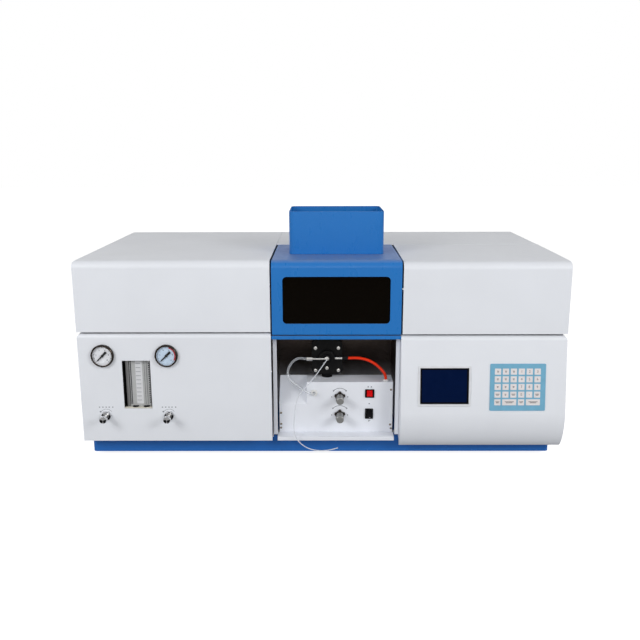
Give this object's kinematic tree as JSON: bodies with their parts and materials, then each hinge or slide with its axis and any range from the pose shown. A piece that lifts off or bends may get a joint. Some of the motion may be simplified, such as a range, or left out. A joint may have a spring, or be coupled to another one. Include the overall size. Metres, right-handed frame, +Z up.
{
  "type": "atomic absorption spectrometer",
  "caption": "Bench-top flame atomic absorption spectrometer: monochromator and lamp compartments either side of a burner bay with hinged hood and chimney, gas controls, screen and keypad.",
  "frame": {"origin": "middle of the footprint, front knobs included, on the bench surface", "axes": "+X to the right seen from the front, along the width; +Y from the front to the rear; +Z up. The front faces -Y."},
  "size_m": [1.02, 0.544, 0.527],
  "materials": {
    "white_paint": "satin white powder coat",
    "bay_white": "satin white powder coat",
    "blue_paint": "semi-gloss blue paint",
    "plinth_blue": "satin blue paint",
    "stainless": "bright stainless steel",
    "zinc_plate": "zinc plated steel",
    "titanium": "heat-tinted bare metal",
    "chrome": "polished chrome",
    "grey_casting": "matt grey casting",
    "black_plastic": "matt black plastic",
    "black_gloss_plastic": "glossy black plastic",
    "red_plastic": "glossy red plastic",
    "white_plastic": "white plastic",
    "clear_tube": "milky clear tube",
    "clear_acrylic": "clear acrylic",
    "keypad_blue": "light blue membrane",
    "needle_black": "matt black paint",
    "black_rubber": "matt black rubber",
    "red_hose": "smooth red hose",
    "clear_glass": "clear glass",
    "smoked_pane": "dark tinted pane",
    "screen_glass": "dark blue display"
  },
  "bodies": {
    "root": {"base_plinth": "plinth_blue", "foot_front_left": "black_rubber", "foot_front_right": "black_rubber", "foot_rear_left": "black_rubber", "foot_rear_right": "black_rubber", "gas_panel": "white_paint", "control_panel": "white_paint", "monochromator_cover": "white_paint", "rear_top_cover": "white_paint", "rear_panel": "bay_white", "power_inlet": "black_plastic", "hinge_rod": "zinc_plate", "bay_liner": "stainless", "hood_crossbar": "blue_paint", "bay_frame": "bay_white", "front_ledge": "bay_white", "burner_box": "bay_white", "ignition_switch_frame": "black_plastic", "power_switch_frame": "black_plastic", "air_tube_bush": "white_plastic", "fuel_hose_grommet": "white_plastic", "air_gauge_case": "chrome", "air_gauge_glass": "clear_glass", "fuel_gauge_case": "chrome", "fuel_gauge_glass": "clear_glass", "flowmeter_housing": "black_plastic", "flowmeter_block": "clear_acrylic", "gas_manifold": "grey_casting", "screen_bezel": "white_plastic", "screen": "screen_glass", "membrane_keypad": "keypad_blue", "monochromator": "grey_casting", "lamp_bracket": "grey_casting"},
    "hood": {"hood": "blue_paint", "hood_window": "smoked_pane", "chimney": "blue_paint"},
    "lamp_lid": {"lamp_cover": "white_paint"},
    "burner_slide": {"burner_carriage": "grey_casting", "fuel_hose": "red_hose", "air_tube": "clear_tube"},
    "burner": {"lift_post": "grey_casting", "mixing_chamber": "black_plastic", "chamber_end_cap": "black_plastic", "nebulizer": "stainless", "fuel_fitting": "stainless", "drain_spout": "black_rubber", "burner_head": "titanium", "sample_capillary": "white_plastic"},
    "height_knob": {"height_knob": "chrome"},
    "traverse_knob": {"traverse_knob": "chrome"},
    "ignition_rocker": {"ignition_rocker": "red_plastic"},
    "power_rocker": {"power_rocker": "black_gloss_plastic"},
    "air_needle": {"air_gauge_needle": "needle_black"},
    "fuel_needle": {"fuel_gauge_needle": "needle_black"},
    "air_float": {"air_flow_float": "stainless"},
    "fuel_float": {"fuel_flow_float": "stainless"},
    "air_valve": {"air_valve_knob": "chrome"},
    "fuel_valve": {"fuel_valve_knob": "chrome"},
    "lamp_carousel": {"lamp_turret": "grey_casting", "hollow_cathode_lamp": "clear_glass"}
  },
  "joints": [
    {"name": "hood_hinge", "type": "hinge", "parent": "root", "child": "hood", "pos_m": [0.0305, 0.00875, 0.4344], "axis": [-1, 0, 0], "range_deg": [0, 75]},
    {"name": "lamp_lid_hinge", "type": "hinge", "parent": "root", "child": "lamp_lid", "pos_m": [0.33875, 0.00875, 0.4344], "axis": [-1, 0, 0], "range_deg": [0, 70]},
    {"name": "burner_traverse", "type": "slide", "parent": "root", "child": "burner_slide", "axis": [0, 1, 0], "range_m": [-0.006, 0.006], "deforming": ["fuel_hose", "air_tube"]},
    {"name": "burner_lift", "type": "slide", "parent": "burner_slide", "child": "burner", "axis": [0, 0, 1], "range_m": [-0.006, 0.006], "deforming": ["fuel_hose", "air_tube"]},
    {"name": "height_knob_turn", "type": "hinge", "parent": "root", "child": "height_knob", "pos_m": [0.0385, -0.211, 0.1359], "axis": [0, 1, 0], "range_deg": [-135, 135]},
    {"name": "traverse_knob_turn", "type": "hinge", "parent": "root", "child": "traverse_knob", "pos_m": [0.0385, -0.211, 0.0947], "axis": [0, 1, 0], "range_deg": [-135, 135]},
    {"name": "ignition_rocker_tip", "type": "hinge", "parent": "root", "child": "ignition_rocker", "pos_m": [0.1027, -0.208, 0.1431], "axis": [1, 0, 0], "range_deg": [0, 14]},
    {"name": "power_rocker_tip", "type": "hinge", "parent": "root", "child": "power_rocker", "pos_m": [0.1018, -0.208, 0.0974], "axis": [1, 0, 0], "range_deg": [0, 14]},
    {"name": "air_needle_sweep", "type": "hinge", "parent": "root", "child": "air_needle", "pos_m": [-0.458, -0.241, 0.2365], "axis": [0, 1, 0], "range_deg": [0, 270], "stiffness_Nm_per_rad": 0.0002},
    {"name": "fuel_needle_sweep", "type": "hinge", "parent": "root", "child": "fuel_needle", "pos_m": [-0.3245, -0.241, 0.2365], "axis": [0, 1, 0], "range_deg": [0, 270], "stiffness_Nm_per_rad": 0.0002},
    {"name": "air_float_rise", "type": "slide", "parent": "root", "child": "air_float", "axis": [0, 0, 1], "range_m": [0, 0.07]},
    {"name": "fuel_float_rise", "type": "slide", "parent": "root", "child": "fuel_float", "axis": [0, 0, 1], "range_m": [0, 0.07]},
    {"name": "air_valve_turn", "type": "hinge", "parent": "root", "child": "air_valve", "pos_m": [-0.458, -0.241, 0.1045], "axis": [0, 1, 0], "range_deg": [0, 1080]},
    {"name": "fuel_valve_turn", "type": "hinge", "parent": "root", "child": "fuel_valve", "pos_m": [-0.3245, -0.241, 0.1045], "axis": [0, 1, 0], "range_deg": [0, 1080]},
    {"name": "lamp_carousel_turn", "type": "hinge", "parent": "root", "child": "lamp_carousel", "pos_m": [0.345, -0.101, 0.293], "axis": [1, 0, 0], "continuous": true}
  ],
  "couplings": [
    {"joint": "height_knob_turn", "follows": "burner_lift", "rad_per_m": 392.69},
    {"joint": "traverse_knob_turn", "follows": "burner_traverse", "rad_per_m": 392.69}
  ]
}
